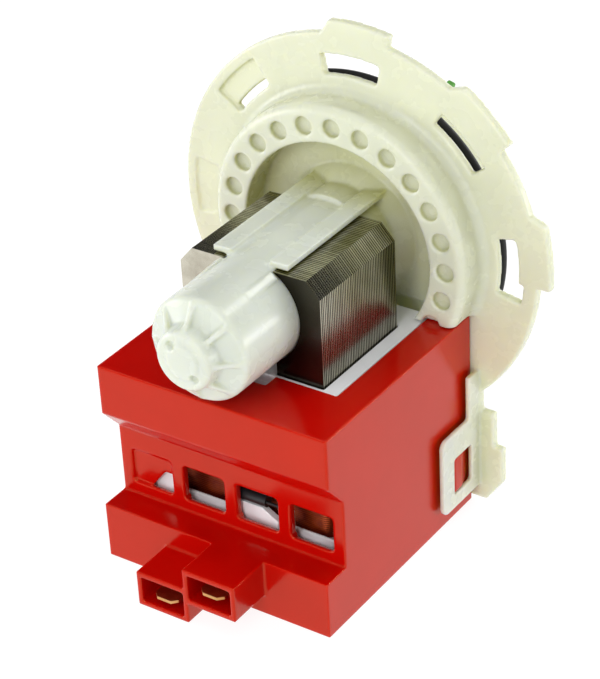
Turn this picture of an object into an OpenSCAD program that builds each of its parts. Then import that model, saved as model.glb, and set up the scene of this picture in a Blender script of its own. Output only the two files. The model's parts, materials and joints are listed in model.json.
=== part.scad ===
// Washer drain pump: a permanent-magnet synchronous motor with a bayonet flange.
// The pump axis is Y. The origin lies on that axis, on the flange face that seats on the pump housing.
// +Y points to the wet end with the impeller, +Z points up, and the coil housing hangs below the axis.

/* [Flange] */
// Radius of the flange disc
disc_r = 47; // [45:0.5:52]
// Thickness of the flange disc
disc_t = 2.2; // [1.8:0.1:3]
// How far the bayonet lugs stand out from the disc
lug_out = 3; // [2:0.1:5]
// Angle that one bayonet lug spans, in degrees
lug_span = 18; // [14:1:24]
// Angle of the ramp at one end of a lug, in degrees
lug_ramp = 3; // [2:0.5:5]
// Inner radius of the slots round the flange
slot_in_r = 37.2; // [36.5:0.1:38]
// Outer radius of the slots round the flange
slot_out_r = 42.1; // [41:0.1:43]
// Angle that one slot spans, in degrees
slot_span = 21; // [16:1:26]
// Height of the raised ring above the disc
ring_h = 8.3; // [6:0.1:10]
// Inner radius of the raised ring
ring_in_r = 24.4; // [22:0.1:25.5]
// Outer radius of the raised ring
ring_out_r = 33.2; // [32:0.1:34.5]
// Rounding of the ring's outer edge
ring_round = 2; // [0.5:0.1:3]
// Radius of the fillet between the ring and the disc
ring_fillet = 2.2; // [1:0.1:2.6]
// Radius of the circle on which the dimples lie
dimple_circle_r = 28.3; // [28:0.1:29.5]
// Radius of one dimple
dimple_r = 2.2; // [1.5:0.1:2.6]
// Depth of one dimple
dimple_deep = 1.6; // [1:0.1:4]
// Number of dimple pitches in a full circle
dimple_pitches = 24; // [18:1:26]

/* [Spigot] */
// Radius of the spigot that enters the pump housing
spigot_r = 31; // [30:0.5:32]
// Length of the spigot beyond the flange face
spigot_l = 11; // [9:0.5:13]
// Wall of the spigot
spigot_wall = 2.6; // [2:0.1:3.5]
// Diameter of the sealing ring's cord
seal_cord = 3.6; // [3:0.1:4]
// Radius of the seat that the sealing ring is stretched on
seal_seat_r = 33.4; // [33:0.1:33.8]
// Depth of the groove that the sealing ring lies in
seal_groove = 0.5; // [0.3:0.1:0.8]
// How far the rim behind the sealing ring stands up from its seat
rim_up = 1.4; // [0.8:0.1:1.8]
// Width of the rim behind the sealing ring
rim_t = 1.5; // [1:0.1:2.5]

/* [Rotor can] */
// Outer radius of the rotor can
can_r = 12.4; // [12:0.1:13]
// Wall of the rotor can
can_wall = 2; // [1.6:0.1:2.4]
// How far the collar behind the stator stands out from the can
collar_up = 0.8; // [0.6:0.1:1.6]
// Thickness of the floor between the bowl and the wet side
floor_t = 2.5; // [2:0.1:3.5]
// Radius of the rounded nose edge
nose_round = 1.6; // [1:0.1:2.4]
// Length of the nose in front of the coil housing
nose_out = 2.2; // [1:0.1:5]
// How far the hub stands out from the nose's edge
hub_out = 5.7; // [4:0.1:7]
// Radius of the hub in the nose
hub_r = 7; // [6.6:0.1:8.4]
// Rounding of the hub's edge
hub_round = 1; // [0.6:0.1:1.6]
// Thickness of the ribs in the nose
nose_rib_t = 1.2; // [0.8:0.1:1.8]
// Number of ribs in the nose
nose_ribs = 8; // [6:1:10]
// Slope of the cone between the ribs, from the nose's edge up to the hub
nose_slope = 24; // [14:1:32]
// Width of the two ramps that hold the core from the front
snap_w = 2.2; // [1.6:0.1:3]
// Length of these ramps
snap_l = 10; // [6:0.1:11]
// Height of these ramps above the can
snap_up = 0.6; // [0.4:0.1:0.9]
// Angle of these ramps round the axis, from the horizontal
snap_angle = 56; // [50:1:60]
// Width of one rail on top of the can
rail_w = 4.6; // [3.5:0.1:5]
// Height of the rails above the pole tops
rail_h = 1.5; // [1.2:0.1:2]
// How far the floor between the rails lies below them
rail_step = 0.8; // [0.4:0.1:1]

/* [Stator core] */
// Length of the lamination stack
stack_l = 29.7; // [26:0.1:34]
// Number of laminations in the stack
laminations = 45; // [20:1:50]
// Depth of the grooves between laminations
groove_deep = 0.15; // [0.1:0.01:0.25]
// Width of the grooves between laminations
groove_w = 0.16; // [0.1:0.01:0.25]
// Width of one core leg
leg_w = 12; // [10:0.1:14]
// Height of the yoke that joins the legs
yoke_h = 11; // [10:0.1:14]
// Distance from the top of the bore down to the pole tops
pole_drop = 1.7; // [1.2:0.1:2.2]
// Width of the chamfer on the pole tops
pole_cut_w = 3.3; // [2:0.1:4]
// Height of the chamfer on the pole tops
pole_cut_h = 3.8; // [2:0.1:5]

/* [Coils] */
// Thickness of the winding beside the legs
wind_x = 3.6; // [3:0.1:4.5]
// Thickness of the winding in front of and behind the legs
wind_y = 5; // [4:0.1:6]
// Height of one winding
wind_h = 31.2; // [24:0.1:34]
// Wall of the bobbin tube
tube_wall = 1.2; // [0.9:0.1:1.6]
// Thickness of the bobbin flanges
bobbin_t = 1.3; // [1.2:0.1:2.2]
// How far the bobbin flanges stand out beyond the winding at the sides
lip_x = 0.5; // [0.3:0.1:1]
// How far the bobbin flanges stand out beyond the winding at front and back
lip_y = 1.5; // [1:0.1:2]
// Gap between the two bobbins
bobbin_split = 0.8; // [0.6:0.1:2]
// Corner radius of the windings
wind_round = 3; // [2:0.1:4]
// Diameter of the thermal fuse
fuse_d = 3; // [2.2:0.1:3.2]
// Length of the thermal fuse
fuse_l = 7; // [6:0.1:9.5]
// Diameter of the lead wires
lead_d = 1.1; // [0.8:0.1:1.3]

/* [Coil housing] */
// Wall of the coil housing
wall = 2; // [1.6:0.1:2.4]
// Free width between the bobbins and the side walls
side_room = 4.4; // [2.5:0.1:7]
// Free depth between the bobbin and the window wall
front_room = 2.1; // [1.9:0.1:3]
// Free depth between the bobbin and the open back
back_room = 3.4; // [2:0.1:5]
// Air between the can's collar and the top of the housing
top_air = 1; // [0.6:0.1:3]
// How far the window wall lies behind the upper front face
wall_in = 5.3; // [4:0.1:7]
// Height of the upper front face
lip_h = 12.2; // [9:0.1:13]
// Height of the sloped underside between the upper front face and the window wall
slope_h = 6.1; // [4:0.1:7]
// How far the lower block stands out from the upper front face
block_out = 2; // [1:0.1:4]
// Height of the lower block
block_h = 14.3; // [14:0.1:15]
// Width of one window
window_w = 11; // [8:0.1:12]
// Height of one window
window_h = 8.8; // [6:0.1:10]
// Height of the windows' lower edge above the lower block
window_up = 3; // [2.8:0.1:5]
// Distance between window centres
window_pitch = 14.3; // [13.5:0.1:14.5]
// How far the windows' lower edges fall towards the inside
sill_fall = 1.4; // [1:0.1:1.6]
// Thickness of the windows' lower edges in front of that fall
sill_lip = 0.4; // [0.3:0.1:0.8]
// Corner radius of the windows
window_round = 0.8; // [0.5:0.1:2]
// Depth of the solid front strip of the housing's top
top_strip = 16; // [14:0.1:16.4]
// Half width of the notch under the can
notch_half = 6.5; // [5:0.1:8]
// Depth of the notch under the can
notch_deep = 4; // [2:0.1:6]

/* [Terminals] */
// Width of a terminal blade
tab_w = 6.3; // [4.8:0.1:6.6]
// Thickness of a terminal blade
tab_t = 0.8; // [0.5:0.1:1]
// Chamfer at the blade's tip
tab_cut = 1.3; // [0.5:0.1:1.8]
// Distance between the two blades across the housing
tab_pitch = 12.9; // [12.7:0.1:14]
// How far the right blade lies above the left one
tab_step = 5.3; // [4.5:0.1:5.6]
// How far the left blade lies below the middle of its socket
tab_drop_left = 1.1; // [0:0.1:1.6]
// How far the right blade lies below the middle of its socket
tab_drop_right = 0.4; // [0:0.1:1.6]
// Width of a terminal socket, outside
socket_w = 13.8; // [13:0.1:14.5]
// Height of a terminal socket, outside
socket_h = 9; // [8.5:0.1:9.4]
// Wall of a terminal socket
socket_wall = 1.25; // [1:0.05:1.6]
// How far the sockets stand out from the lower block
socket_l = 11.3; // [9:0.1:14]
// How far the blade's tip lies inside the socket's mouth
tab_inset = 0.5; // [0.2:0.1:2]

/* [Snap ears] */
// Thickness of the snap ears
ear_t = 1.2; // [1:0.1:1.6]
// Gap between the snap ears and the housing's sides
ear_gap = 0.9; // [0.4:0.1:1]
// Length of the snap ears from the housing's back
ear_l = 15.8; // [14:0.1:18]
// Height of the ears' lower edge above the base
ear_low = 4.8; // [3:0.1:6]
// Height of the ears' upper edge above the base
ear_high = 25; // [23:0.1:26]
// Width of the ears' front bar
ear_bar = 5; // [4:0.1:6]
// Height of the ears' lower bar
ear_foot = 3.5; // [2.5:0.1:4.5]
// Height of the window in the ears
ear_window_h = 9.6; // [8:0.1:11]
// Length of the window in the ears
ear_window_l = 7.6; // [6:0.1:8.5]
// Half width of the back plate above the ears
plate_half = 32.3; // [32.2:0.1:34]
// How far the upper wing stands out from the back plate
wing_out = 3.4; // [2:0.1:5]
// How far the lower wing stands out from the upper wing
wing_step = 2.3; // [1:0.1:4]

/* [Rotor] */
// Radius of the shaft
shaft_r = 2; // [1.6:0.1:2.3]
// Air between the magnet and the can
magnet_air = 0.7; // [0.5:0.05:1]
// Inner radius of the magnet
magnet_in_r = 4; // [3.4:0.1:5]
// Thickness of the flanges on the magnet hub
hub_flange_t = 1.5; // [1:0.1:2]
// Thickness of the thrust washers
washer_t = 1; // [0.6:0.1:1.4]
// Wall of the bushes
bush_wall = 1.25; // [1:0.05:1.4]
// Length of the front bush
front_bush_l = 5.2; // [4.2:0.1:5.2]
// Length of the rear bush
rear_bush_l = 8; // [6:0.1:9]
// Wall of the rubber sleeve round the front bush
sleeve_wall = 1; // [0.8:0.1:1.1]

/* [Impeller] */
// Radius of the impeller
impeller_r = 26.5; // [22:0.5:27]
// Radius of the impeller's hub
impeller_hub_r = 9.5; // [9.2:0.1:11]
// Length of the impeller's hub
impeller_hub_l = 20; // [18:0.5:24]
// Length of the blades along the axis
blade_l = 16; // [12:0.5:17]
// Thickness of one blade
blade_t = 2; // [1.4:0.1:3]
// Number of blades
blades = 4; // [3:1:8]
// Angle of the first blade, in degrees
blade_turn = 73; // [0:1:90]
// Radius of the chamber in the hub
chamber_r = 7.6; // [7.2:0.1:7.9]
// Thickness of the hub's floor and of its cap
chamber_end_t = 3; // [2.5:0.1:4]
// Half of the angle that the hub's stop fills, in degrees
stop_half = 40; // [30:1:45]
// Half of the angle that the drive dog fills, in degrees
dog_half = 28; // [20:1:30]
// Angle that one rubber buffer fills, in degrees
buffer_angle = 10; // [6:1:12]

/* [Fits] */
// Gap between pieces that are fitted together by hand
seat_gap = 0.3; // [0.2:0.05:0.35]
// Gap between pieces that are pressed or moulded together
press_gap = 0.02; // [0.01:0.01:0.04]
// Radial gap of the shaft in its bores
run_gap = 0.05; // [0.03:0.01:0.08]
// Axial play between turning and standing pieces
end_play = 0.4; // [0.35:0.05:0.6]

/* [Hidden] */
$fn = 96;
slop = 1;
fit_gap = 0.1;
lug_angles = [87, 46, 5.5, 226];
slot_angles = [0, 45, 90];
slot_narrow = [0, 1.1, 0];
pocket_angles = [135, 180];
pocket_deep = [1, 0.5];
pocket_slit = 1.8;
pocket_out_r = 44.5;
lock_notch = [1.3, 4];

// Places along the pump axis, from the wet end to the nose
disc_front = -disc_t;
ring_face = disc_front - ring_h;
wet_floor = -0.5;
bowl_floor = wet_floor - floor_t;
box_back = disc_front - seat_gap;
flange_back = box_back - back_room;
coil_over_y = seat_gap + tube_wall + wind_y + lip_y;
stack_back = flange_back - coil_over_y;
stack_front = stack_back - stack_l;
stack_mid = (stack_front + stack_back) / 2;
flange_front = stack_front - coil_over_y;
window_back = flange_front - front_room;
window_face = window_back - wall;
box_front = window_face - wall_in;
block_front = box_front - block_out;
nose_rim = box_front - nose_out;
hub_tip = nose_rim - hub_out;
collar_front = stack_back + 0.5;
flare = 3.5;

// Sizes across the pump axis
can_in_r = can_r - can_wall;
collar_r = can_r + collar_up;
bore_r = can_r + seat_gap;
pole_top = bore_r - pole_drop;
coil_over_x = seat_gap + tube_wall + wind_x + lip_x;
leg_in = bobbin_split / 2 + coil_over_x;
leg_out = leg_in + leg_w;
leg_mid = leg_in + leg_w / 2;
flange_out_x = leg_out + coil_over_x;
box_half = flange_out_x + side_room + wall;
neck_half = leg_in - seat_gap - 0.4;
rail_under = pole_top + seat_gap;
rail_top = rail_under + rail_h;

// Heights, with the pump axis at zero
box_top = -collar_r - top_air;
pad_top = box_top - seat_gap;
bobbin_top = box_top - wall - seat_gap;
wind_top = bobbin_top - bobbin_t - fit_gap;
wind_low = wind_top - wind_h;
bobbin_low = wind_low - fit_gap - bobbin_t;
yoke_top = bobbin_low - seat_gap;
yoke_low = yoke_top - yoke_h;
base = yoke_low - seat_gap - wall;
ledge = base + block_h;
lip_low = box_top - lip_h;
slope_low = lip_low - slope_h;
window_low = ledge + window_up;
ring_cut = box_top + seat_gap;

// Places of the rotor's pieces along the axis
can_end = nose_rim + 4.3;
front_bush_back = can_end - seat_gap;
front_bush_front = front_bush_back - front_bush_l;
bush_r = shaft_r + run_gap + bush_wall;
sleeve_r = bush_r + press_gap + sleeve_wall;
front_washer_at = front_bush_back + end_play;
magnet_hub_front = front_washer_at + washer_t + press_gap;
mouth_y = 2.5;
mouth_deep = 2;
mouth_r = can_in_r + 2;
boss_r = mouth_r + 1.9;
plate_plug_l = 8.5;
plate_front = mouth_y - mouth_deep - plate_plug_l;
rear_bush_front = plate_front + 0.3;
rear_washer_at = rear_bush_front - end_play - washer_t;
magnet_hub_back = rear_washer_at - press_gap;
magnet_r = can_in_r - magnet_air;
hub_flange_r = magnet_r - 1;
shaft_seal_r = 4.2;
shaft_seal_t = 1.6;
plate_seal_cord = 1.3;

// Places of the impeller's pieces along the axis
impeller_back = mouth_y + 1.5;
chamber_low = impeller_back + chamber_end_t + 1;
impeller_front = impeller_back + impeller_hub_l;
cap_low = impeller_front - chamber_end_t;
dog_low = chamber_low + end_play;
dog_high = cap_low - end_play;
dog_hub_r = shaft_r + 1.6;
stop_in_r = dog_hub_r + 0.6;
dog_out_r = chamber_r - 0.4;
blade_low = spigot_l + 1.5;
blade_high = blade_low + blade_l;
shaft_front = front_bush_front + 0.5;
shaft_back = dog_high - 0.2;

// Heights and places of the terminals
socket_low = [base, base + tab_step];
socket_mid_x = [-tab_pitch / 2, tab_pitch / 2];
socket_mouth = block_front - socket_l;
tab_tip = socket_mouth + tab_inset;
tab_root = block_front + wall + 4;
tail_end = window_back - 0.6;
tail_w = 2;
tab_drops = [tab_drop_left, tab_drop_right];
ear_in = box_half + ear_gap;

// Places of the fuse and the leads
fuse_rest = bobbin_low + bobbin_t + 5.2;
fuse_mid = bobbin_split / 2 + 0.2 + fuse_l / 2;
fuse_tail = window_pitch / 2 + 4;
fuse_y = flange_front - front_room + fuse_d / 2 + 0.3;
fuse_z = fuse_rest + fuse_d / 2 + fit_gap;
pillar_x = window_pitch;
left_lead_x = -window_pitch - 1.9;
lead_y = flange_front - 0.4 - lead_d / 2;
wind_front = flange_front + lip_y;

echo(overall_length = blade_high - socket_mouth, overall_width = 2 * (disc_r + lug_out));

// Extrudes a shape drawn in X and Z between two places along Y
module along_y(y0, y1) {
    translate([0, y1, 0])
        rotate([90, 0, 0])
            linear_extrude(y1 - y0)
                children();
}

// Extrudes a shape drawn in Y and Z between two places along X
module along_x(x0, x1) {
    translate([x0, 0, 0])
        rotate([90, 0, 90])
            linear_extrude(x1 - x0)
                children();
}

// Turns a shape drawn in radius and Y about the pump axis
module spin() {
    rotate([-90, 0, 0])
        rotate_extrude()
            children();
}

// A rectangle between two corners
module rect(low, high) {
    translate(low)
        square(high - low);
}

// A rectangle between two corners, with round corners
module round_rect(low, high, r) {
    rect([low.x + r, low.y], [high.x - r, high.y]);
    rect([low.x, low.y + r], [high.x, high.y - r]);
    for (x = [low.x + r, high.x - r], y = [low.y + r, high.y - r])
        translate([x, y])
            circle(r);
}

// A part of a ring between two radii and two angles, with straight ends
module sector(r0, r1, a0, a1) {
    far = 2 * r1;
    mid = (a0 + a1) / 2;
    intersection() {
        difference() {
            circle(r1);
            circle(r0);
        }
        polygon([
            [0, 0],
            far * [cos(a0), sin(a0)],
            far * [cos(mid), sin(mid)],
            far * [cos(a1), sin(a1)]
        ]);
    }
}

// A ring about the pump axis
module tube(r0, r1, y0, y1) {
    spin()
        rect([r0, y0], [r1, y1]);
}

// A straight run of wire through a list of points, with round bends
module wire(points, d) {
    for (i = [0 : len(points) - 2]) {
        run = points[i + 1] - points[i];
        translate(points[i])
            rotate([0, acos(run.z / norm(run)), atan2(run.y, run.x)])
                cylinder(d = d, h = norm(run), $fn = 24);
    }
    for (i = [1 : len(points) - 2])
        translate(points[i])
            sphere(d = 1.06 * d, $fn = 24);
}

// Flange and back plate outline

module back_plate_shape() {
    low = base + 1;
    wing_top = base + ear_high;
    wing_mid = wing_top - 9;
    foot = wing_mid - 9;
    wing = plate_half + wing_out;
    edge = [
        [wing - 2, low], [wing + wing_step, foot], [wing + wing_step, wing_mid],
        [wing, wing_mid], [wing, wing_top], [plate_half, wing_top], [plate_half, ring_cut]
    ];
    last = len(edge) - 1;
    polygon([
        each edge,
        for (i = [0 : last])
            [-edge[last - i].x, edge[last - i].y]
    ]);
}

// Bayonet lug on the disc's edge, with a ramp at the end that enters first
module lug(a) {
    low = a - lug_span / 2;
    high = a + lug_span / 2;
    sector(disc_r - 2, disc_r + lug_out, low, high);
    polygon([
        (disc_r - 2) * [cos(high - 1), sin(high - 1)],
        (disc_r + lug_out) * [cos(high), sin(high)],
        disc_r * [cos(high + lug_ramp), sin(high + lug_ramp)],
        (disc_r - 2) * [cos(high + lug_ramp), sin(high + lug_ramp)]
    ]);
}

module flange_shape() {
    circle(disc_r);
    for (a = lug_angles)
        lug(a);
    back_plate_shape();
}

// Slots right through the disc, and blind pockets, the first with a slit at its inner edge
module slot_cuts() {
    half = slot_span / 2;
    for (i = [0 : len(slot_angles) - 1])
        along_y(disc_front - slop, slop)
            sector(slot_in_r, slot_out_r - slot_narrow[i], slot_angles[i] - half, slot_angles[i] + half);
    along_y(disc_front - slop, slop)
        sector(slot_out_r - slop, slot_out_r + lock_notch[0], -half, -lock_notch[1]);
    along_y(disc_front - slop, slop)
        sector(slot_in_r, slot_in_r + pocket_slit, pocket_angles[0] - half + 2, pocket_angles[0] + half - 2);
    for (i = [0 : len(pocket_angles) - 1])
        along_y(disc_front - slop, disc_front + pocket_deep[i])
            sector(slot_in_r + 0.5, pocket_out_r, pocket_angles[i] - half + 1, pocket_angles[i] + half - 1);
}

module dimple_cuts() {
    for (i = [0 : dimple_pitches - 1]) {
        a = i * 360 / dimple_pitches;
        translate([dimple_circle_r * cos(a), ring_face - slop, dimple_circle_r * sin(a)])
            rotate([-90, 0, 0])
                cylinder(r = dimple_r, h = dimple_deep + slop, $fn = 32);
    }
}

// Raised ring and bowl on the motor side, cut off above the coil housing
module motor_side_ring() {
    fillet_r = ring_out_r + ring_fillet;
    fillet_y = disc_front - ring_fillet;
    intersection() {
        union() {
            spin() {
                rect([ring_in_r, ring_face], [ring_out_r - ring_round, disc_front + slop]);
                rect([ring_in_r, ring_face + ring_round], [ring_out_r, disc_front + slop]);
                translate([ring_out_r - ring_round, ring_face + ring_round])
                    circle(ring_round);
                difference() {
                    rect([ring_out_r - slop, fillet_y], [fillet_r, disc_front + slop]);
                    translate([fillet_r, fillet_y])
                        circle(ring_fillet);
                }
            }
            tube(0, ring_in_r + slop, bowl_floor, disc_front + slop);
        }
        along_y(ring_face - slop, slop)
            rect([-disc_r, ring_cut], [disc_r, disc_r]);
    }
}

// Spigot on the wet side with the seat and the rim of the sealing ring
module spigot() {
    in_r = spigot_r - spigot_wall;
    rim_y = seal_cord + 0.2 - seal_groove;
    difference() {
        spin() {
            rect([0, disc_front + 0.5], [seal_seat_r, rim_y]);
            rect([in_r, rim_y], [seal_seat_r + rim_up, rim_y + rim_t]);
            rect([in_r, rim_y], [spigot_r, spigot_l]);
        }
        tube(0, in_r, wet_floor, spigot_l + slop);
    }
    tube(0, boss_r, wet_floor - slop, mouth_y);
}

// Can with its collar and its rounded nose
module can_outside() {
    spin() {
        rect([0, nose_rim + nose_round], [can_r, bowl_floor]);
        rect([0, nose_rim], [can_r - nose_round, nose_rim + nose_round]);
        translate([can_r - nose_round, nose_rim + nose_round])
            circle(nose_round);
        rect([0, collar_front], [collar_r, bowl_floor + slop]);
        polygon([
            [0, bowl_floor - flare], [collar_r, bowl_floor - flare], [collar_r + flare, bowl_floor],
            [collar_r + flare, bowl_floor + slop], [0, bowl_floor + slop]
        ]);
    }
}

// Hub that holds the front bush: a cone with ribs leads up to it, and a raised disc lies on its front
module nose_hub() {
    edge_r = nose_round - 0.03;
    cone_r = can_r - nose_round + edge_r * sin(nose_slope);
    cone_y = nose_rim + nose_round - edge_r * cos(nose_slope);
    foot_r = hub_r + 0.4;
    ring_front = hub_tip + 0.4;
    shoulder = ring_front + hub_round;
    boss_top = 4.1;
    spin() {
        polygon([
            [0, nose_rim + nose_round], [cone_r, nose_rim + nose_round], [cone_r, cone_y],
            [foot_r, cone_y - (cone_r - foot_r) * tan(nose_slope)], [hub_r, shoulder], [0, shoulder]
        ]);
        rect([0, ring_front], [hub_r - hub_round, shoulder + slop / 2]);
        intersection() {
            translate([hub_r - hub_round, shoulder])
                circle(hub_round);
            rect([0, ring_front - slop], [hub_r, shoulder]);
        }
        polygon([
            [0, hub_tip], [boss_top - 0.3, hub_tip], [boss_top, hub_tip + 0.3],
            [boss_top, shoulder], [0, shoulder]
        ]);
    }
    for (i = [0 : nose_ribs - 1])
        rotate([0, i * 360 / nose_ribs, 0])
            translate([0, 0, -nose_rib_t / 2])
                linear_extrude(nose_rib_t)
                    polygon([
                        [hub_r - 1, nose_rim + nose_round], [can_r - 0.2, nose_rim + nose_round],
                        [can_r - 0.2, nose_rim + 0.35 * nose_round], [hub_r - 0.2, shoulder],
                        [hub_r - 1, shoulder]
                    ]);
}

// Two round dents, at opposite sides of the hub's front
module hub_dents() {
    for (a = [131, 311])
        translate([4.4 * cos(a), hub_tip - slop, 4.4 * sin(a)])
            rotate([-90, 0, 0])
                cylinder(h = 1.1 + slop, r1 = 1.5, r2 = 0.9);
}

// Two ramps on the can, which hold the core from the front
module snap_ramps() {
    end = stack_front - seat_gap;
    for (a = [snap_angle, 180 - snap_angle])
        rotate([0, -a, 0])
            translate([0, 0, -snap_w / 2])
                linear_extrude(snap_w)
                    polygon([
                        [can_r - 1, end - snap_l], [can_r + 0.1, end - snap_l],
                        [can_r + snap_up, end], [can_r - 1, end]
                    ]);
}

// Saddle on top of the can: two rails over the pole tops, and a floor between them
module saddle() {
    rail_in = neck_half - 0.3;
    along_y(stack_front + 1, bowl_floor + slop / 2) {
        rect([-neck_half, can_in_r], [neck_half, rail_top - rail_step]);
        for (x = [rail_in, -rail_in - rail_w])
            rect([x, rail_under], [x + rail_w, rail_top]);
    }
}

module can_cavity() {
    tube(0, can_in_r, can_end, mouth_y + slop);
    tube(0, mouth_r, mouth_y - mouth_deep, mouth_y + slop);
    tube(0, sleeve_r + press_gap, front_bush_front - 0.2, can_end + slop);
}

// Ear at one side of the housing, with a window for the housing's nib and a strap up to the disc
module snap_ear() {
    low = base + ear_low;
    high = base + ear_high;
    front = box_back - ear_l;
    strap = box_back - 4.2;
    window = [front + ear_bar, low + ear_foot];
    along_x(ear_in, ear_in + ear_t)
        difference() {
            union() {
                round_rect([front, low], [box_back, high], 2);
                rect([strap, low], [-press_gap, high + 11]);
            }
            rect(window, window + [ear_window_l, ear_window_h]);
        }
}

// One-piece body: flange, spigot, rotor can, saddle, back plate and snap ears
module pump_body() {
    color([0.88, 0.89, 0.83])
        difference() {
            union() {
                along_y(disc_front, 0)
                    flange_shape();
                motor_side_ring();
                spigot();
                can_outside();
                nose_hub();
                snap_ramps();
                saddle();
                for (side = [0, 1])
                    mirror([side, 0, 0])
                        snap_ear();
            }
            slot_cuts();
            dimple_cuts();
            can_cavity();
            hub_dents();
            tube(seal_seat_r, seal_seat_r + seal_cord + 0.4, -seal_groove, slop);
        }
}

module flange_seal_ring() {
    color([0.04, 0.04, 0.04])
        spin()
            translate([seal_seat_r + seal_cord / 2 + press_gap, seal_cord / 2 + fit_gap - seal_groove])
                circle(d = seal_cord);
}

// Side outline of the coil housing, drawn in Y and Z
module housing_shape() {
    polygon([
        [box_front, box_top], [box_back, box_top], [box_back, base], [block_front, base],
        [block_front, ledge], [window_face, ledge], [window_face, slope_low], [box_front, lip_low]
    ]);
}

// The same outline, one wall further in and open at the back
module housing_room() {
    fall = slope_h / wall_in;
    rise = wall * sqrt(1 + fall * fall);
    polygon([
        [box_front + wall, box_top - wall], [box_back + slop, box_top - wall],
        [box_back + slop, base + wall], [block_front + wall, base + wall],
        [block_front + wall, ledge - wall], [window_back, ledge - wall],
        [window_back, lip_low - fall * (wall_in + wall) + rise],
        [box_front + wall, lip_low - fall * wall + rise]
    ]);
}

module top_opening() {
    pad_out = flange_out_x - lip_x - 1.1 + seat_gap;
    front = box_front + top_strip;
    translate([0, 0, box_top - wall - slop])
        linear_extrude(wall + 2 * slop) {
            rect([-pad_out, front], [pad_out, box_back + slop]);
            rect([-notch_half, front - notch_deep], [notch_half, front + slop]);
        }
}

module windows() {
    for (i = [-1.5 : 1 : 1.5])
        along_y(window_face - slop, window_back + slop)
            round_rect(
                [i * window_pitch - window_w / 2, window_low],
                [i * window_pitch + window_w / 2, window_low + window_h],
                window_round
            );
    for (i = [-1.5 : 1 : 1.5])
        along_x(i * window_pitch - window_w / 2 + 0.4, i * window_pitch + window_w / 2 - 0.4)
            polygon([
                [window_face + sill_lip, window_low], [window_face + sill_lip, window_low + 1],
                [window_back + slop, window_low + 1], [window_back + slop, window_low - sill_fall]
            ]);
}

// Wedge that snaps into the window of one ear
module nib() {
    low = base + ear_low + ear_foot + seat_gap;
    front = box_back - ear_l + ear_bar + seat_gap;
    out = ear_in + 0.8 * ear_t;
    back = front + ear_window_l - 2 * seat_gap;
    translate([0, 0, low])
        linear_extrude(ear_window_h - 2 * seat_gap)
            polygon([
                [box_half - slop, front], [out, front], [out, front + 3],
                [box_half + 0.5, back], [box_half - slop, back]
            ]);
}

// Thin screen in the first window, open at its lower right corner
module window_screen() {
    left = -1.5 * window_pitch - window_w / 2;
    right = left + window_w;
    edge = 0.4;
    step = window_low + 0.55 * window_h;
    along_y(window_face + 0.7, window_face + 1.5)
        polygon([
            [left - edge, window_low - sill_fall], [left + 0.43 * window_w, window_low - sill_fall],
            [left + 0.43 * window_w, window_low], [left + 0.78 * window_w, step], [right + edge, step],
            [right + edge, window_low + window_h + edge], [left - edge, window_low + window_h + edge]
        ]);
}

module coil_housing() {
    room_half = box_half - wall;
    color([0.78, 0.09, 0.05]) {
        window_screen();
        difference() {
            union() {
                difference() {
                    along_x(-box_half, box_half)
                        housing_shape();
                    along_x(-room_half, room_half)
                        housing_room();
                }
                for (i = [0, 1])
                    along_y(socket_mouth, block_front + slop / 2)
                        translate([socket_mid_x[i], socket_low[i] + socket_h / 2])
                            square([socket_w, socket_h], center = true);
                for (side = [0, 1])
                    mirror([side, 0, 0])
                        nib();
            }
            top_opening();
            windows();
            for (i = [0, 1]) {
                mid = socket_low[i] + socket_h / 2;
                along_y(socket_mouth - slop, block_front)
                    translate([socket_mid_x[i], mid])
                        square([socket_w, socket_h] - 2 * [socket_wall, socket_wall], center = true);
                along_y(block_front - slop, block_front + wall + slop)
                    translate([socket_mid_x[i], mid - tab_drops[i]])
                        square([tab_w + 2 * fit_gap, tab_t + 2 * fit_gap], center = true);
            }
        }
    }
}

// Outline of one lamination, drawn in X and Z
module lamination() {
    cut_low = pole_top - pole_cut_h;
    cut_in = leg_out - pole_cut_w;
    difference() {
        polygon([
            [-leg_out, yoke_low], [leg_out, yoke_low], [leg_out, cut_low], [cut_in, pole_top],
            [leg_in, pole_top], [leg_in, yoke_top], [-leg_in, yoke_top], [-leg_in, pole_top],
            [-cut_in, pole_top], [-leg_out, cut_low]
        ]);
        circle(bore_r);
    }
}

// Everything outside a line that runs just inside the outer sides and the pole tops
module groove_shape() {
    side = leg_out - groove_deep;
    top = pole_top - groove_deep;
    cut_low = top - pole_cut_h + groove_deep / 2;
    cut_in = side - pole_cut_w + groove_deep / 2;
    difference() {
        rect([-leg_out - slop, yoke_low - slop], [leg_out + slop, pole_top + slop]);
        polygon([
            [-side, yoke_low - 2 * slop], [side, yoke_low - 2 * slop], [side, cut_low], [cut_in, top],
            [-cut_in, top], [-side, cut_low]
        ]);
    }
}

// Stack of laminations: shallow grooves round the outside show the joints between them
module stator_core() {
    pitch = stack_l / laminations;
    color([0.42, 0.42, 0.40])
        difference() {
            along_y(stack_front, stack_back)
                lamination();
            for (i = [1 : laminations - 1])
                along_y(stack_front + i * pitch - groove_w / 2, stack_front + i * pitch + groove_w / 2)
                    groove_shape();
        }
}

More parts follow.
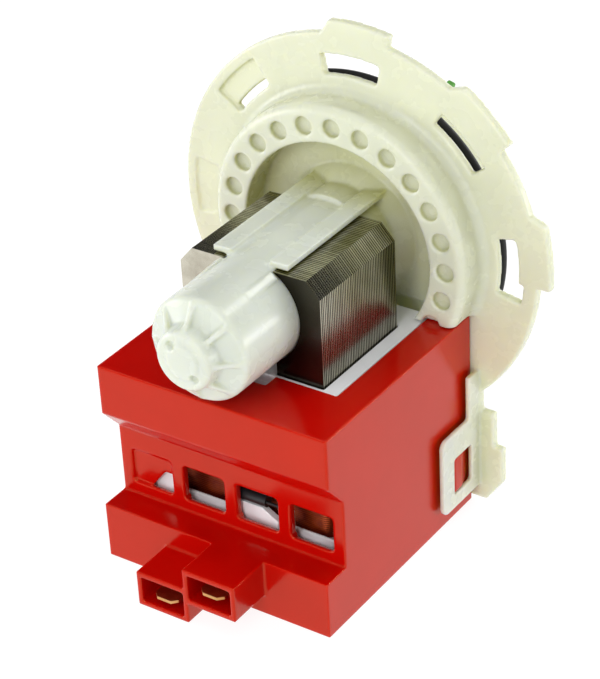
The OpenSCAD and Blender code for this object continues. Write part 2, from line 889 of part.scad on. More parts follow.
// Bobbin round the right leg, with a pad that fills the opening in the housing's top
module bobbin() {
    tube_x = leg_w / 2 + seat_gap;
    tube_y = stack_l / 2 + seat_gap;
    flange_x = leg_w / 2 + coil_over_x;
    flange_y = stack_l / 2 + coil_over_y;
    pad_front = box_front + top_strip + seat_gap - stack_mid;
    translate([leg_mid, stack_mid, 0])
        difference() {
            union() {
                translate([0, 0, bobbin_low])
                    linear_extrude(bobbin_top - bobbin_low)
                        square(2 * [tube_x + tube_wall, tube_y + tube_wall], center = true);
                for (z = [bobbin_low, bobbin_top - bobbin_t])
                    translate([0, 0, z])
                        linear_extrude(bobbin_t)
                            round_rect([-flange_x, -flange_y], [flange_x, flange_y], 1);
                translate([0, 0, bobbin_top - bobbin_t])
                    linear_extrude(pad_top - bobbin_top + bobbin_t)
                        rect([-flange_x, pad_front], [flange_x - lip_x - 1.1, flange_y]);
            }
            translate([0, 0, bobbin_low - slop])
                linear_extrude(pad_top - bobbin_low + 2 * slop)
                    square(2 * [tube_x, tube_y], center = true);
        }
}

// The left bobbin also carries a block behind the first window
module bobbin_left() {
    color([0.86, 0.88, 0.90]) {
        mirror([1, 0, 0])
            bobbin();
        along_y(window_back + seat_gap, flange_front + 0.3)
            rect([-flange_out_x, bobbin_low], [-window_pitch - 2.9, window_low + 0.7 * window_h]);
    }
}

// The right bobbin also carries a small block that holds the thermal fuse
module bobbin_right() {
    color([0.86, 0.88, 0.90]) {
        bobbin();
        along_y(flange_front - 1.4, flange_front + 0.3)
            polygon([
                [bobbin_split / 2, bobbin_low], [fuse_tail - 0.4, bobbin_low],
                [fuse_tail - 0.4, fuse_rest - 2.5], [fuse_mid + 2.4, fuse_rest], [bobbin_split / 2, fuse_rest]
            ]);
    }
}

// Wound pack of copper wire on the right leg
module winding() {
    in_x = leg_w / 2 + seat_gap + tube_wall + fit_gap;
    in_y = stack_l / 2 + seat_gap + tube_wall + fit_gap;
    out_x = leg_w / 2 + coil_over_x - lip_x;
    out_y = stack_l / 2 + coil_over_y - lip_y;
    translate([leg_mid, stack_mid, wind_low])
        linear_extrude(wind_h)
            difference() {
                round_rect([-out_x, -out_y], [out_x, out_y], wind_round);
                square(2 * [in_x, in_y], center = true);
            }
}

module winding_left() {
    color([0.48, 0.24, 0.12])
        mirror([1, 0, 0])
            winding();
}

module winding_right() {
    color([0.48, 0.24, 0.12])
        winding();
}

// Fuse with one tail that runs over it to the winding and one that runs to the right
module thermal_fuse() {
    left = fuse_mid - fuse_l / 2;
    over = fuse_z + fuse_d / 2 + 0.8;
    color([0.05, 0.05, 0.06]) {
        translate([left, fuse_y, fuse_z])
            rotate([0, 90, 0])
                cylinder(d = fuse_d, h = fuse_l);
        wire([
            [left + 0.5, fuse_y, fuse_z], [left - 1, fuse_y, fuse_z], [left - 1, fuse_y, over],
            [fuse_mid + 1, fuse_y, over], [fuse_mid + 1, wind_front - 0.1, over]
        ], 0.8);
        translate([fuse_mid, lead_y, fuse_z])
            rotate([0, 90, 0])
                cylinder(d = 0.8, h = fuse_tail - fuse_mid, $fn = 24);
    }
}

// Lead from the left terminal up behind the pillar between the first two windows to its winding
module lead_left() {
    tab_z = socket_low[0] + socket_h / 2 - tab_drops[0];
    color([0.85, 0.85, 0.82])
        wire([
            [socket_mid_x[0], tail_end + 0.1, tab_z], [socket_mid_x[0], lead_y, tab_z],
            [left_lead_x, lead_y, tab_z + 5], [left_lead_x, lead_y, wind_low + 4],
            [left_lead_x, wind_front - 0.1, wind_low + 4]
        ], lead_d);
}

// Lead from the right terminal to the thermal fuse
module lead_right() {
    tab_z = socket_low[1] + socket_h / 2 - tab_drops[1];
    color([0.85, 0.85, 0.82])
        wire([
            [socket_mid_x[1], tail_end + 0.1, tab_z], [socket_mid_x[1], lead_y, tab_z],
            [pillar_x, lead_y, tab_z + 3], [pillar_x, lead_y, fuse_z], [fuse_tail + 0.1, lead_y, fuse_z]
        ], lead_d);
}

// Link between the two windings at the back: a straight wire with a bend at each end
module coil_link() {
    bend_r = 1.2;
    start = flange_back - lip_y + 0.1;
    bend_y = start + 0.4;
    bend_x = leg_in + 1 - bend_r;
    color([0.62, 0.32, 0.16])
        translate([0, 0, wind_top - 5]) {
            translate([-bend_x, bend_y + bend_r, 0])
                rotate([0, 90, 0])
                    cylinder(d = lead_d, h = 2 * bend_x, $fn = 24);
            for (side = [0, 1])
                mirror([side, 0, 0]) {
                    translate([bend_x, bend_y, 0])
                        intersection() {
                            rotate_extrude($fn = 48)
                                translate([bend_r, 0])
                                    circle(d = lead_d, $fn = 24);
                            translate([0, 0, -lead_d])
                                cube(2 * [lead_d + bend_r, lead_d + bend_r, lead_d]);
                        }
                    translate([bend_x + bend_r, start, 0])
                        rotate([-90, 0, 0])
                            cylinder(d = lead_d, h = bend_y - start, $fn = 24);
                }
        }
}

// Flat blade with a chamfered tip and a narrow tail for the lead
module terminal(i) {
    color([0.72, 0.52, 0.30])
        translate([socket_mid_x[i], 0, socket_low[i] + socket_h / 2 - tab_drops[i] - tab_t / 2])
            linear_extrude(tab_t) {
                half = tab_w / 2;
                polygon([
                    [-half, tab_root], [-half, tab_tip + tab_cut], [tab_cut - half, tab_tip],
                    [half - tab_cut, tab_tip], [half, tab_tip + tab_cut], [half, tab_root]
                ]);
                rect([-tail_w / 2, tab_root - slop], [tail_w / 2, tail_end]);
            }
}

module terminal_left() {
    terminal(0);
}

module terminal_right() {
    terminal(1);
}

module front_bush() {
    color([0.45, 0.38, 0.30])
        tube(shaft_r + run_gap, bush_r, front_bush_front, front_bush_back);
}

module front_bush_sleeve() {
    color([0.08, 0.08, 0.08])
        tube(bush_r + press_gap, sleeve_r, front_bush_front, front_bush_back);
}

// Plate that closes the can, carries the rear bush and has a groove for its own sealing ring
module bearing_plate() {
    groove_y = plate_front + 3;
    flange_y = mouth_y - mouth_deep + press_gap;
    color([0.30, 0.32, 0.34])
        difference() {
            spin() {
                rect([0, plate_front], [can_in_r - fit_gap, flange_y + slop / 2]);
                rect([0, flange_y], [mouth_r - fit_gap, mouth_y - 0.2]);
            }
            tube(0, bush_r + press_gap, plate_front - slop, mouth_y);
            tube(0, shaft_seal_r + press_gap, mouth_y - 0.2 - shaft_seal_t, mouth_y + slop);
            tube(can_in_r - plate_seal_cord, can_in_r + slop, groove_y, groove_y + 1.6);
        }
}

module bearing_plate_seal() {
    color([0.04, 0.04, 0.04])
        spin()
            translate([can_in_r - plate_seal_cord / 2 + press_gap, plate_front + 3.8])
                circle(d = plate_seal_cord - 4 * press_gap);
}

module rear_bush() {
    color([0.45, 0.38, 0.30])
        tube(shaft_r + run_gap, bush_r, rear_bush_front, rear_bush_front + rear_bush_l);
}

module shaft_seal() {
    high = mouth_y - 0.2;
    color([0.08, 0.08, 0.08])
        tube(shaft_r + run_gap, shaft_seal_r, high - shaft_seal_t + press_gap, high);
}

module rotor_shaft() {
    color([0.75, 0.76, 0.78])
        spin()
            polygon([
                [0, shaft_front], [shaft_r - 0.4, shaft_front], [shaft_r, shaft_front + 0.4],
                [shaft_r, shaft_back - 0.4], [shaft_r - 0.4, shaft_back], [0, shaft_back]
            ]);
}

// Moulded hub that holds the magnet on the shaft between two flanges
module magnet_hub() {
    in_r = shaft_r + press_gap;
    color([0.85, 0.85, 0.82])
        spin() {
            rect([in_r, magnet_hub_front], [magnet_in_r - press_gap, magnet_hub_back]);
            rect([in_r, stack_front - hub_flange_t - press_gap], [hub_flange_r, stack_front - press_gap]);
            rect([in_r, stack_back + press_gap], [hub_flange_r, stack_back + hub_flange_t + press_gap]);
        }
}

module rotor_magnet() {
    color([0.16, 0.16, 0.17])
        tube(magnet_in_r, magnet_r, stack_front, stack_back);
}

module thrust_washer(y) {
    color([0.80, 0.72, 0.55])
        tube(shaft_r + press_gap, bush_r + 0.8, y, y + washer_t);
}

module front_thrust_washer() {
    thrust_washer(front_washer_at);
}

module rear_thrust_washer() {
    thrust_washer(rear_washer_at);
}

// Dog that the shaft carries inside the impeller's hub
module drive_dog() {
    color([0.70, 0.70, 0.66])
        along_y(dog_low, dog_high)
            difference() {
                union() {
                    circle(dog_hub_r);
                    sector(shaft_r + 0.5, dog_out_r, 180 - dog_half, 180 + dog_half);
                }
                circle(shaft_r + press_gap);
            }
}

// Straight blades on a hub that holds the dog, with a stop inside and a short back disc
module impeller() {
    disc_out = (impeller_r + impeller_hub_r) / 2;
    color([0.36, 0.62, 0.24]) {
        difference() {
            union() {
                tube(0, impeller_hub_r, impeller_back, impeller_front);
                tube(0, disc_out, blade_low, blade_low + blade_t);
                for (i = [0 : blades - 1])
                    rotate([0, -blade_turn - i * 360 / blades, 0])
                        translate([0, 0, -blade_t / 2])
                            linear_extrude(blade_t)
                                polygon([
                                    [chamber_r + 0.5, blade_low], [impeller_r, blade_low + 2],
                                    [impeller_r, blade_high], [impeller_r - 5, blade_high],
                                    [chamber_r + 0.8, impeller_front - 0.5]
                                ]);
            }
            tube(0, shaft_r + run_gap, impeller_back - slop, impeller_front);
            tube(0, chamber_r, chamber_low, impeller_front + slop);
            tube(0, chamber_r + 0.8, cap_low, impeller_front + slop);
        }
        along_y(chamber_low - slop / 2, cap_low - fit_gap)
            sector(stop_in_r, chamber_r + slop / 2, -stop_half, stop_half);
    }
}

module impeller_cap() {
    color([0.32, 0.56, 0.22])
        spin() {
            rect([0, cap_low], [chamber_r + 0.8 - press_gap, impeller_front]);
        }
}

// Rubber buffers on both sides of the stop
module dog_buffers() {
    start = stop_half + 0.5;
    color([0.08, 0.08, 0.08])
        along_y(chamber_low + fit_gap, cap_low - fit_gap) {
            sector(stop_in_r, chamber_r - fit_gap, start, start + buffer_angle);
            sector(stop_in_r, chamber_r - fit_gap, -start - buffer_angle, -start);
        }
}

pump_body();
flange_seal_ring();
coil_housing();
stator_core();
bobbin_left();
bobbin_right();
winding_left();
winding_right();
thermal_fuse();
lead_left();
lead_right();
coil_link();
terminal_left();
terminal_right();
front_bush();
front_bush_sleeve();
bearing_plate();
bearing_plate_seal();
rear_bush();
shaft_seal();
rotor_shaft();
magnet_hub();
rotor_magnet();
front_thrust_washer();
rear_thrust_washer();
drive_dog();
impeller();
impeller_cap();
dog_buffers();
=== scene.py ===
import json
import math

import bmesh
import bpy
from mathutils import Matrix, Vector


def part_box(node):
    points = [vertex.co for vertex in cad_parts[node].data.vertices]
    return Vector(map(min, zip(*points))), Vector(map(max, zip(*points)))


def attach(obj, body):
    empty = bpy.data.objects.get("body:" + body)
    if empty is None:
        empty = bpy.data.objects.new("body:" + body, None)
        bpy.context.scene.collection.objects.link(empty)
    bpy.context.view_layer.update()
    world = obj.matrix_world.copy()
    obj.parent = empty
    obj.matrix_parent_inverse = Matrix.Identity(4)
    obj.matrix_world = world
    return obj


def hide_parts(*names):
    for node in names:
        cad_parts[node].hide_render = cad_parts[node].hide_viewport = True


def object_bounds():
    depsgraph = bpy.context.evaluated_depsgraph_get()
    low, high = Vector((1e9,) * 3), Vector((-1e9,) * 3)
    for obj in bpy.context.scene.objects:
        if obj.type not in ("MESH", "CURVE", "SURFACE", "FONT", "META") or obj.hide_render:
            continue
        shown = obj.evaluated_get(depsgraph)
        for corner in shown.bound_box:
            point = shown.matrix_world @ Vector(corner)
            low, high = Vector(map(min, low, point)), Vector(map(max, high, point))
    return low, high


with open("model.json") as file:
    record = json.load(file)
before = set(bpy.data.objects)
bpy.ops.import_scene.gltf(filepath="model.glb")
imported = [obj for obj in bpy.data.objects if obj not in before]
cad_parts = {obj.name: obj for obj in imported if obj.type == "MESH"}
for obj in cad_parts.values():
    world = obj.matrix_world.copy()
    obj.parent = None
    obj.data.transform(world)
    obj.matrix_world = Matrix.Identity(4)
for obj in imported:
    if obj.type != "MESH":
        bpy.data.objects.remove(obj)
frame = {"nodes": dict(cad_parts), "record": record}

CAD_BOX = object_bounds()
NODES = frame["nodes"]
MM = 0.001
LAMINATIONS = 45


# Camera, fitted to the photograph's 600 x 679 frame

def add_camera():
    forward = Vector((-0.4957, 0.6948, -0.5211)).normalized()
    level = forward.cross(Vector((0, 0, 1))).normalized()
    roll = math.radians(-3.11)
    focal_px, frame_px, sensor_mm = 2384.8, 679, 36
    right = math.cos(roll) * level + math.sin(roll) * level.cross(forward)
    turn = Matrix((right, right.cross(forward), -forward)).transposed()
    data = bpy.data.cameras.new("photo_camera")
    data.sensor_fit = "AUTO"
    data.sensor_width = sensor_mm
    data.lens = focal_px / frame_px * sensor_mm
    data.clip_start = 0.01
    cam = bpy.data.objects.new("photo_camera", data)
    cam.matrix_world = Matrix.Translation((0.26349, -0.39537, 0.26)) @ turn.to_4x4()
    bpy.context.collection.objects.link(cam)
    bpy.context.scene.camera = cam


# Small helpers for node materials

def srgb(r, g, b):
    """Linear colour of an 8-bit screen colour."""
    def lin(v):
        v /= 255
        return v / 12.92 if v <= 0.04045 else ((v + 0.055) / 1.055) ** 2.4
    return (lin(r), lin(g), lin(b), 1)


class Shader:
    """A Principled material with a few shorthand calls for its nodes."""

    def __init__(self, name, rough, metal=0.0, spec=0.5):
        self.mat = bpy.data.materials.new(name)
        self.mat.use_nodes = True
        self.tree = self.mat.node_tree
        self.bsdf = self.tree.nodes["Principled BSDF"]
        self.set("Roughness", rough)
        self.set("Metallic", metal)
        self.set("Specular IOR Level", spec)
        self.place = self.add("ShaderNodeTexCoord").outputs["Object"]

    def add(self, kind, **props):
        node = self.tree.nodes.new(kind)
        for key, value in props.items():
            setattr(node, key, value)
        return node

    def link(self, a, b):
        self.tree.links.new(a, b)

    def set(self, socket, value):
        self.bsdf.inputs[socket].default_value = value

    def drive(self, socket, output):
        self.link(output, self.bsdf.inputs[socket])

    def noise(self, size_mm, detail=3, stretch=(1, 1, 1), rough=0.55):
        """Noise whose features are about size_mm across."""
        mapping = self.add("ShaderNodeMapping")
        mapping.inputs["Scale"].default_value = stretch
        self.link(self.place, mapping.inputs["Vector"])
        node = self.add("ShaderNodeTexNoise")
        node.inputs["Scale"].default_value = 1 / (size_mm * MM)
        node.inputs["Detail"].default_value = detail
        node.inputs["Roughness"].default_value = rough
        self.link(mapping.outputs["Vector"], node.inputs["Vector"])
        return node.outputs["Fac"]

    def ramp(self, fac, *stops):
        node = self.add("ShaderNodeValToRGB")
        bar = node.color_ramp
        while len(bar.elements) < len(stops):
            bar.elements.new(0.5)
        for element, (at, colour) in zip(bar.elements, stops):
            element.position = at
            element.color = colour if isinstance(colour, tuple) else (colour, colour, colour, 1)
        self.link(fac, node.inputs["Fac"])
        return node.outputs["Color"]

    def range(self, fac, low, high, from_low=0.0, from_high=1.0):
        node = self.add("ShaderNodeMapRange")
        ends = {"From Min": from_low, "From Max": from_high, "To Min": low, "To Max": high}
        for key, value in ends.items():
            node.inputs[key].default_value = value
        self.link(fac, node.inputs["Value"])
        return node.outputs["Result"]

    def math(self, kind, a, b=None):
        node = self.add("ShaderNodeMath", operation=kind)
        for socket, value in zip(node.inputs, (a, b)):
            if isinstance(value, (int, float)):
                socket.default_value = value
            elif value is not None:
                self.link(value, socket)
        return node.outputs[0]

    def mix(self, fac, a, b, kind="MIX"):
        node = self.add("ShaderNodeMix", data_type="RGBA", blend_type=kind)
        for socket, value in ((node.inputs[0], fac), (node.inputs[6], a), (node.inputs[7], b)):
            if isinstance(value, (int, float, tuple)):
                socket.default_value = value
            else:
                self.link(value, socket)
        return node.outputs[2]

    def axis(self, name):
        node = self.add("ShaderNodeSeparateXYZ")
        self.link(self.place, node.inputs[0])
        return node.outputs[name]

    def facing(self, name):
        """One component of the surface normal."""
        node = self.add("ShaderNodeSeparateXYZ")
        self.link(self.add("ShaderNodeNewGeometry").outputs["Normal"], node.inputs[0])
        return node.outputs[name]

    def bump(self, height, depth_mm, strength=1.0):
        node = self.add("ShaderNodeBump")
        node.inputs["Strength"].default_value = strength
        node.inputs["Distance"].default_value = depth_mm * MM
        self.link(height, node.inputs["Height"])
        if self.bsdf.inputs["Normal"].is_linked:
            self.link(self.bsdf.inputs["Normal"].links[0].from_socket, node.inputs["Normal"])
        self.drive("Normal", node.outputs["Normal"])


def moulded(name, dark, light, rough, size_mm=9, grain_mm=0.7, grain_deep=0.0015, translucent=0.0):
    """Moulded plastic: cloudy colour, uneven gloss and a fine grain from the mould."""
    s = Shader(name, rough)
    cloud = s.noise(size_mm, 2)
    s.drive("Base Color", s.ramp(cloud, (0.3, dark), (0.7, light)))
    s.drive("Roughness", s.range(s.noise(size_mm / 3, 2), rough - 0.015, rough + 0.02))
    s.bump(s.noise(grain_mm, 2), grain_deep)
    if translucent:
        s.set("Subsurface Weight", translucent)
        s.set("Subsurface Radius", (1.0, 0.95, 0.6))
        s.set("Subsurface Scale", 2.6 * MM)
    return s


def make_materials():
    made = {}
    made["red_plastic"] = moulded("red_plastic", srgb(190, 5, 1), srgb(196, 7, 2), 0.17, 12)
    made["red_plastic"].set("Specular Tint", (1.0, 0.74, 0.32, 1))
    made["red_plastic"].set("Subsurface Weight", 0.4)
    made["red_plastic"].set("Subsurface Radius", (1.0, 0.06, 0.03))
    made["red_plastic"].set("Subsurface Scale", 1.6 * MM)
    made["white_plastic"] = white_moulding()
    made["bobbin_plastic"] = moulded("bobbin_plastic", srgb(240, 242, 246), srgb(248, 249, 252), 0.4, 8)
    made["fuse_black"] = moulded("fuse_black", srgb(20, 20, 22), srgb(34, 34, 36), 0.38, 4)
    made["lead_white"] = moulded("lead_white", srgb(214, 213, 205), srgb(228, 227, 220), 0.42, 3)
    made["plate_grey"] = moulded("plate_grey", srgb(140, 143, 147), srgb(156, 159, 163), 0.42, 8)
    made["hub_plastic"] = moulded("hub_plastic", srgb(222, 221, 212), srgb(234, 233, 226), 0.4, 8)
    made["washer_plastic"] = moulded("washer_plastic", srgb(214, 204, 178), srgb(228, 219, 194), 0.42, 4)
    made["impeller_green"] = moulded("impeller_green", srgb(80, 152, 52), srgb(98, 170, 66), 0.5, 10,
                                     translucent=0.1)
    made["black_rubber"] = rubber()
    made["core_steel"] = laminated_steel()
    made["copper_wire"] = enamelled_copper()
    made["terminal_brass"] = rolled_brass()
    made["bush_bronze"] = sintered("bush_bronze", srgb(150, 118, 74), srgb(180, 146, 98), 1.0, 0.38)
    made["magnet_dark"] = sintered("magnet_dark", srgb(52, 52, 55), srgb(76, 76, 79), 0.4, 0.5)
    made["shaft_steel"] = ground_steel()
    return {slot: s.mat for slot, s in made.items()}


def white_moulding():
    """Milky plastic, a little cooler on the can than on the flange, with painted shade in its recesses."""
    s = moulded("white_plastic", srgb(221, 224, 201), srgb(226, 229, 207), 0.27, 14, translucent=0.7)
    warm = s.bsdf.inputs["Base Color"].links[0].from_socket
    cool = s.ramp(s.noise(14, 2), (0.3, srgb(217, 222, 209)), (0.7, srgb(222, 228, 216)))
    body = s.mix(s.range(s.axis("Y"), 0.0, 1.0, -0.02, -0.008), cool, warm)
    # Painted shade: ambient occlusion darkens the recesses, dimples, bowl and nose pockets to a yellowish
    # grey.
    recess_ao = s.add("ShaderNodeAmbientOcclusion", samples=8, only_local=True)
    recess_ao.inputs["Distance"].default_value = 22 * MM
    deep = s.range(recess_ao.outputs["AO"], 1.0, 0.0, 0.2, 0.75)
    s.drive("Base Color", s.mix(deep, body, s.mix(1.0, body, srgb(214, 211, 158), "MULTIPLY")))
    return s


def rubber():
    s = Shader("black_rubber", 0.5, spec=0.25)
    s.drive("Base Color", s.ramp(s.noise(2.5, 4), (0.35, srgb(10, 10, 9)), (0.75, srgb(20, 20, 18))))
    s.drive("Roughness", s.range(s.noise(1.2, 3), 0.42, 0.6))
    s.bump(s.noise(0.25, 2), 0.02)
    return s


def laminated_steel():
    """Punched sheets, each with its own shade. End sheets are stained; the right one is painted dark as
    painted shade, most of all near the can.
    """
    s = Shader("core_steel", 0.24, 1.0)
    low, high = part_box("stator_core")
    along = s.math("MULTIPLY", s.math("SUBTRACT", s.axis("Y"), low[1]), LAMINATIONS / (high[1] - low[1]))
    sheet = s.math("FLOOR", along)
    shade = s.add("ShaderNodeTexWhiteNoise", noise_dimensions="1D")
    s.link(sheet, shade.inputs["W"])
    edge = s.ramp(shade.outputs["Value"], (0.0, srgb(164, 162, 146)), (1.0, srgb(196, 193, 176)))
    dust = s.ramp(s.noise(12, 3), (0.4, 1.0), (0.75, srgb(206, 200, 182)))
    joint = s.math("ABSOLUTE", s.math("SUBTRACT", s.math("FRACT", along), 0.5))
    burr = s.ramp(joint, (0.2, 1.0), (0.32, srgb(70, 68, 58)))
    # The dark joints are the sheets' own; fading them on upward faces is painted light that lightens the
    # tops.
    top_light_joint_fade = s.range(s.facing("Z"), 1.0, 0.45, 0.1, 0.7)
    sides = s.mix(top_light_joint_fade, s.mix(0.7, edge, dust, "MULTIPLY"), burr, "MULTIPLY")
    stain = s.ramp(s.noise(6, 4), (0.3, srgb(176, 170, 154)), (0.58, srgb(206, 202, 186)))
    # Painted shade: the right leg's end sheet is painted dark, darkest near the can, as a painted
    # reflection of the can's shaded side.
    far = s.math("SQRT", s.math("ADD", s.math("POWER", s.axis("X"), 2), s.math("POWER", s.axis("Z"), 2)))
    near = s.range(far, 0.99, 0.88, 13 * MM, 21 * MM)
    right_end_painted_shade = s.math("MULTIPLY", near, s.math("GREATER_THAN", s.axis("X"), 0.0))
    ends = s.mix(right_end_painted_shade, stain, srgb(40, 36, 28))
    flat = s.math("GREATER_THAN", s.math("ABSOLUTE", s.facing("Y")), 0.8)
    s.drive("Base Color", s.mix(flat, sides, ends))
    s.drive("Roughness", s.range(s.noise(8, 2), 0.2, 0.28))
    return s


def enamelled_copper():
    s = Shader("copper_wire", 0.3, 0.85)
    s.drive("Base Color", s.ramp(s.noise(3, 4), (0.3, srgb(104, 22, 8)), (0.7, srgb(166, 68, 20))))
    s.drive("Roughness", s.range(s.noise(1, 3), 0.24, 0.38))
    s.set("Coat Weight", 0.2)
    s.set("Coat Roughness", 0.2)
    s.bump(s.noise(0.3, 2, (0.2, 0.2, 1)), 0.01)
    return s


def rolled_brass():
    s = Shader("terminal_brass", 0.32, 1.0)
    s.drive("Base Color", s.ramp(s.noise(2.5, 4), (0.3, srgb(196, 142, 84)), (0.7, srgb(226, 178, 120))))
    s.drive("Roughness", s.range(s.noise(0.8, 3, (1, 0.1, 1)), 0.26, 0.42))
    s.bump(s.noise(0.2, 2, (1, 0.06, 1)), 0.008)
    return s


def sintered(name, dark, light, metal, rough):
    s = Shader(name, rough, metal)
    s.drive("Base Color", s.ramp(s.noise(0.5, 5), (0.3, dark), (0.7, light)))
    s.drive("Roughness", s.range(s.noise(0.8, 3), rough - 0.05, rough + 0.12))
    s.bump(s.noise(0.3, 4), 0.03)
    return s


def ground_steel():
    s = Shader("shaft_steel", 0.22, 1.0)
    s.drive("Base Color", s.ramp(s.noise(2, 4), (0.3, srgb(196, 198, 202)), (0.7, srgb(222, 223, 226))))
    s.drive("Roughness", s.range(s.noise(0.6, 3, (1, 6, 1)), 0.16, 0.3))
    s.bump(s.noise(0.15, 2, (0.2, 8, 0.2)), 0.006)
    return s


def dress_nodes(materials):
    slots = {part["node"]: part["material_slot"] for part in frame["record"]["subparts"]}
    for name, obj in NODES.items():
        obj.data.materials.clear()
        obj.data.materials.append(materials[slots[name]])


# Rounded edges on the moulded pieces

def round_edges(name, width_mm, segments=3, angle=35):
    obj = NODES[name]
    weld = obj.modifiers.new("weld", "WELD")
    weld.merge_threshold = 0.002 * MM
    flat = obj.modifiers.new("flat", "DECIMATE")
    flat.decimate_type = "DISSOLVE"
    flat.angle_limit = math.radians(0.4)
    edge = obj.modifiers.new("edge", "BEVEL")
    edge.width = width_mm * MM
    edge.segments = segments
    edge.limit_method = "ANGLE"
    edge.angle_limit = math.radians(angle)
    edge.use_clamp_overlap = False
    edge.harden_normals = True
    edge.miter_outer = "MITER_ARC"


def soften(name, voxel_mm, smooth, keep):
    """Melts a moulded piece's edges a little, ribs and pockets included."""
    obj = NODES[name]
    weld = obj.modifiers.new("weld", "WELD")
    weld.merge_threshold = 0.002 * MM
    melt = obj.modifiers.new("melt", "REMESH")
    melt.mode = "VOXEL"
    melt.voxel_size = voxel_mm * MM
    melt.use_smooth_shade = True
    ease = obj.modifiers.new("ease", "SMOOTH")
    ease.factor = 0.5
    ease.iterations = smooth
    thin = obj.modifiers.new("thin", "DECIMATE")
    thin.ratio = keep
    calm = obj.modifiers.new("calm", "SMOOTH")
    calm.factor = 0.5
    calm.iterations = 2


# Windings, with their turns

def loop_points(half_x, half_y, corner, steps):
    """Points and outward directions round a rectangle with round corners."""
    points = []
    for k, (sx, sy) in enumerate(((1, 1), (-1, 1), (-1, -1), (1, -1))):
        cx = sx * (half_x - corner)
        cy = sy * (half_y - corner)
        for i in range(steps + 1):
            a = math.radians(90 * k + 90 * i / steps)
            points.append((cx + corner * math.cos(a), cy + corner * math.sin(a), math.cos(a), math.sin(a)))
    full = []
    for i, p in enumerate(points):
        q = points[(i + 1) % len(points)]
        run = math.hypot(q[0] - p[0], q[1] - p[1])
        parts = max(1, round(run / (4 * MM)))
        for j in range(parts):
            t = j / parts
            full.append(tuple(a + (b - a) * t for a, b in zip(p, q)))
    return full


def wind(node, material, pitch_mm=0.55, rows=5, deep_mm=0.16):
    """Copper pack whose outside is one helical ridge, a little barrel-shaped as a wound coil is."""
    low, high = (Vector(c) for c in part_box(node))
    mid = (low + high) / 2
    half = (high - low) / 2
    corner, sag = 3.2 * MM, 0.5 * MM
    loop = loop_points(half.x, half.y, corner, 6)
    tall = high.z - low.z
    turns = round(tall / (pitch_mm * MM))
    count = turns * rows
    tube_x, tube_y = 7.7 * MM, 16.55 * MM
    verts, faces = [], []
    size = len(loop)
    for k in range(count + 1):
        t = k / count
        slack = sag * abs(2 * t - 1) ** 5
        for i, (x, y, nx, ny) in enumerate(loop):
            wave = abs(math.sin(math.pi * (turns * t + i / size)))
            sink = slack + deep_mm * MM * (1 - wave)
            verts.append((mid.x + x - nx * sink, mid.y + y - ny * sink, low.z + tall * t))
    for k in range(count):
        for i in range(size):
            j = (i + 1) % size
            faces.append((k * size + i, k * size + j, (k + 1) * size + j, (k + 1) * size + i))
    base = len(verts)
    for z in (low.z, high.z):
        for x, y, nx, ny in loop:
            verts.append((mid.x + max(-tube_x, min(tube_x, x)), mid.y + max(-tube_y, min(tube_y, y)), z))
    top = base + size
    last = count * size
    for i in range(size):
        j = (i + 1) % size
        faces.append((base + i, base + j, j, i))
        faces.append((last + i, last + j, top + j, top + i))
        faces.append((top + i, top + j, base + j, base + i))
    mesh = bpy.data.meshes.new(node + "_turns")
    mesh.from_pydata(verts, [], faces)
    mesh.validate()
    mesh.shade_smooth()
    mesh.materials.append(material)
    obj = bpy.data.objects.new(node + "_turns", mesh)
    bpy.context.collection.objects.link(obj)
    weld = obj.modifiers.new("weld", "WELD")
    weld.merge_threshold = 0.001 * MM
    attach(obj, "pump")
    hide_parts(node)


# Slanted rim along the front of a bobbin's lower flange, seen in a window

def add_rim(bobbin, winding, left_mm, right_mm, material):
    deep, above, ahead, slant, round_off = 2.3 * MM, 1.9 * MM, 2.0 * MM, 1.5 * MM, 0.2 * MM
    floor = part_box(bobbin)[0][2]
    low = Vector(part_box(winding)[0])
    size = Vector(((right_mm - left_mm) * MM, deep, low.z + above - floor))
    at = Vector(((right_mm + left_mm) / 2 * MM, low.y - ahead, floor + size.z / 2))
    make = bmesh.new()
    bmesh.ops.create_cube(make, size=1, matrix=Matrix.LocRotScale(at, None, size))
    for v in make.verts:
        if v.co.z > at.z and v.co.y < at.y:
            v.co.y += slant
    bmesh.ops.bevel(make, geom=list(make.edges), offset=round_off, segments=2, affect="EDGES")
    mesh = bpy.data.meshes.new(bobbin + "_rim")
    make.to_mesh(mesh)
    make.free()
    mesh.shade_smooth()
    mesh.materials.append(material)
    obj = bpy.data.objects.new(bobbin + "_rim", mesh)
    bpy.context.collection.objects.link(obj)
    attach(obj, "pump")


# Floor, world and lamps

def add_stage():
    low = CAD_BOX[0][2]
    half = 3.0
    corners = [(x * half, y * half, low) for x, y in ((-1, -1), (1, -1), (1, 1), (-1, 1))]
    mesh = bpy.data.meshes.new("floor")
    mesh.from_pydata(corners, [], [(0, 1, 2, 3)])
    floor = bpy.data.objects.new("floor", mesh)
    bpy.context.collection.objects.link(floor)
    s = Shader("floor_white", 0.9, spec=0.0)
    s.set("Base Color", (0.2, 0.2, 0.2, 1))
    s.set("Emission Color", (1, 1, 1, 1))
    rays = s.add("ShaderNodeLightPath").outputs
    seen = s.math("ADD", rays["Is Camera Ray"], rays["Is Glossy Ray"])
    seen = s.math("MINIMUM", s.math("ADD", seen, rays["Is Transmission Ray"]), 1.0)
    s.drive("Emission Strength", s.range(seen, 0.72, 0.9))
    mesh.materials.append(s.mat)


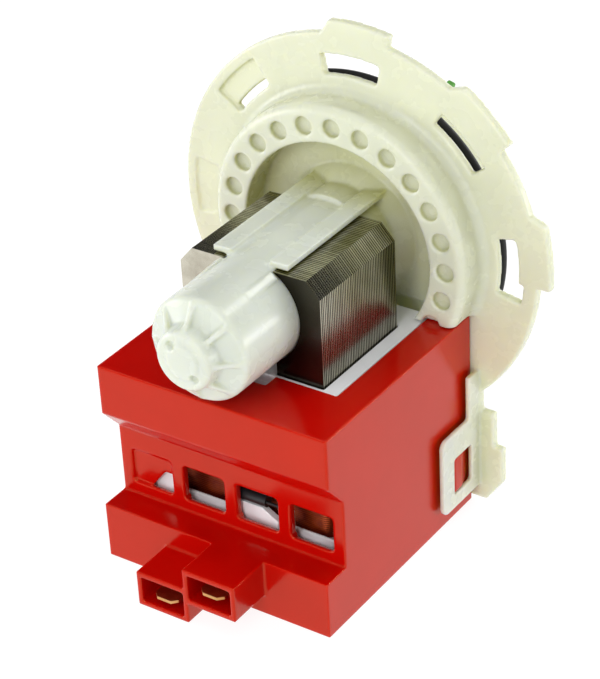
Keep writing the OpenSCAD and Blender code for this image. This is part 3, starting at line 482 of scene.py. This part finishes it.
def add_world():
    world = bpy.data.worlds.new("studio")
    bpy.context.scene.world = world
    world.use_nodes = True
    tree = world.node_tree
    tree.nodes.clear()
    out = tree.nodes.new("ShaderNodeOutputWorld")
    room = tree.nodes.new("ShaderNodeBackground")
    place = tree.nodes.new("ShaderNodeTexCoord")
    split = tree.nodes.new("ShaderNodeSeparateXYZ")
    tree.links.new(place.outputs["Generated"], split.inputs[0])
    ramp = tree.nodes.new("ShaderNodeValToRGB")
    bar = ramp.color_ramp
    height_and_shade = ((0.16, 1.0), (0.34, 0.02), (0.7, 0.02), (0.8, 1.0))
    while len(bar.elements) < len(height_and_shade):
        bar.elements.new(0.5)
    for element, (height, shade) in zip(bar.elements, height_and_shade):
        element.position = height
        element.color = (shade, shade, shade, 1)
    room.inputs["Strength"].default_value = 1.2
    tree.links.new(split.outputs["Z"], ramp.inputs["Fac"])
    tree.links.new(ramp.outputs["Color"], room.inputs["Color"])
    tree.links.new(room.outputs[0], out.inputs["Surface"])


def add_lamp(name, at, aim, wide, tall, watts):
    data = bpy.data.lights.new(name, "AREA")
    data.shape = "ELLIPSE"
    data.size = wide
    data.size_y = tall
    data.energy = watts
    lamp = bpy.data.objects.new(name, data)
    lamp.location = at
    lamp.rotation_euler = (Vector(aim) - Vector(at)).to_track_quat("-Z", "Y").to_euler()
    bpy.context.collection.objects.link(lamp)


add_camera()
materials = make_materials()
dress_nodes(materials)
soften("coil_housing", 0.28, 2, 0.3)
soften("pump_body", 0.32, 3, 0.6)
round_edges("bobbin_left", 0.25)
round_edges("bobbin_right", 0.25)
round_edges("impeller", 0.4)
round_edges("terminal_left", 0.12, 2)
round_edges("terminal_right", 0.12, 2)
wind("winding_left", materials["copper_wire"])
wind("winding_right", materials["copper_wire"])
add_rim("bobbin_left", "winding_left", -15.5, -1.0, materials["bobbin_plastic"])
add_rim("bobbin_right", "winding_right", 13.2, 24.5, materials["bobbin_plastic"])
add_stage()
add_world()
add_lamp("left_softbox", (-0.85, -0.5, 0.08), (0, -0.02, -0.01), 0.6, 0.5, 3.0)
add_lamp("right_softbox", (0.85, 0.5, 0.0), (0, -0.02, -0.03), 0.8, 0.12, 2.4)
add_lamp("front_softbox", (0.15, -0.95, 0.1), (0, -0.06, -0.03), 0.5, 0.3, 0.7)
add_lamp("upper_front_softbox", (0.1, -0.8, 0.45), (0, -0.05, -0.03), 0.4, 0.4, 2.2)
add_lamp("back_softbox", (0.1, 0.95, 0.04), (0, 0, 0), 0.8, 0.5, 2.6)
add_lamp("highlight", (0.3, 0.545, 0.695), (0.007, -0.049, 0.011), 0.16, 0.16, 1.0)

scene = bpy.context.scene
scene.view_settings.view_transform = "Standard"
